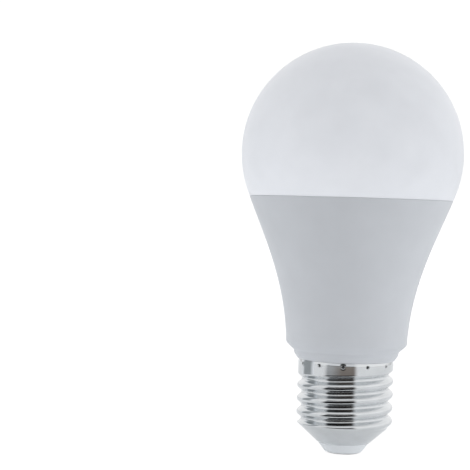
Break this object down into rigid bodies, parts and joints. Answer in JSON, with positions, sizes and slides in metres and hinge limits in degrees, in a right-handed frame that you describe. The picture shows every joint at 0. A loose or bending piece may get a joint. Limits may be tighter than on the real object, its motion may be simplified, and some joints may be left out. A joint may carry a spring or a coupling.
{
  "type": "smart light bulb",
  "caption": "Smart LED light bulb: frosted globe on a flared white housing with a screw cap, holding white and colour LEDs, a radio board and a mains driver.",
  "frame": {"origin": "centre of the contact's face at the foot of the screw cap", "axes": "+Z along the lamp's axis from the screw cap to the globe; +X and +Y across it, with the driver board in the XZ plane"},
  "size_m": [0.0604, 0.0604, 0.112],
  "materials": {
    "opal_diffuser": "frosted opal, matte",
    "housing_white": "matte white moulding with a faint mould texture",
    "insulator_white": "satin white moulding",
    "nickel_cap": "bright nickel plate",
    "contact_metal": "tinned, slightly worn",
    "aluminium_cup": "pressed, satin",
    "silicone_bead": "cured silicone, satin",
    "thermal_pad_grey": "matte silicone pad",
    "board_white": "white solder mask on aluminium",
    "board_green": "green solder mask with tinned pads",
    "board_black": "black solder mask",
    "led_cool": "yellow phosphor in a white package",
    "led_warm": "amber phosphor in a white package",
    "led_colour": "clear resin in a white package",
    "chip_black": "moulded epoxy",
    "steel_plated": "zinc plated",
    "copper_track": "gold-plated copper",
    "copper_wire": "tinned copper",
    "ferrite": "dull ground ferrite",
    "tape_yellow": "polyester tape",
    "capacitor_sleeve": "shrunk sleeve on an aluminium can",
    "film_red": "moulded box",
    "varistor_blue": "dipped epoxy",
    "resistor_green": "fireproof coating",
    "wire_red": "flexible insulation",
    "wire_black": "flexible insulation"
  },
  "bodies": {
    "root": {"diffuser": "opal_diffuser", "silicone_seal": "silicone_bead", "housing": "housing_white", "screw_shell": "nickel_cap", "insulator": "insulator_white", "centre_contact": "contact_metal", "heat_sink": "aluminium_cup", "thermal_pad": "thermal_pad_grey", "led_board": "board_white", "current_regulator_chip": "chip_black", "board_screw_1": "steel_plated", "board_screw_2": "steel_plated", "radio_board": "board_black", "radio_chip": "chip_black", "radio_shield": "steel_plated", "radio_antenna": "copper_track", "memory_chip": "chip_black", "signal_header": "chip_black", "driver_board": "board_green", "bulk_capacitor": "capacitor_sleeve", "output_capacitor": "capacitor_sleeve", "transformer_core": "ferrite", "transformer_bobbin": "chip_black", "transformer_winding": "tape_yellow", "filter_inductor": "ferrite", "film_capacitor": "film_red", "fuse_resistor": "resistor_green", "varistor": "varistor_blue", "bridge_rectifier": "chip_black", "driver_chip": "chip_black", "output_diode": "chip_black", "live_wire": "wire_red", "neutral_wire": "copper_wire", "led_wire_red": "wire_red", "led_wire_black": "wire_black", "cool_white_led_1": "led_cool", "warm_white_led_1": "led_warm", "colour_led_1": "led_colour", "cool_white_led_2": "led_cool", "warm_white_led_2": "led_warm", "colour_led_2": "led_colour", "cool_white_led_3": "led_cool", "warm_white_led_3": "led_warm", "colour_led_3": "led_colour", "cool_white_led_4": "led_cool", "warm_white_led_4": "led_warm", "colour_led_4": "led_colour", "cool_white_led_5": "led_cool", "warm_white_led_5": "led_warm", "colour_led_5": "led_colour", "cool_white_led_6": "led_cool", "warm_white_led_6": "led_warm", "colour_led_6": "led_colour"}
  },
  "joints": []
}
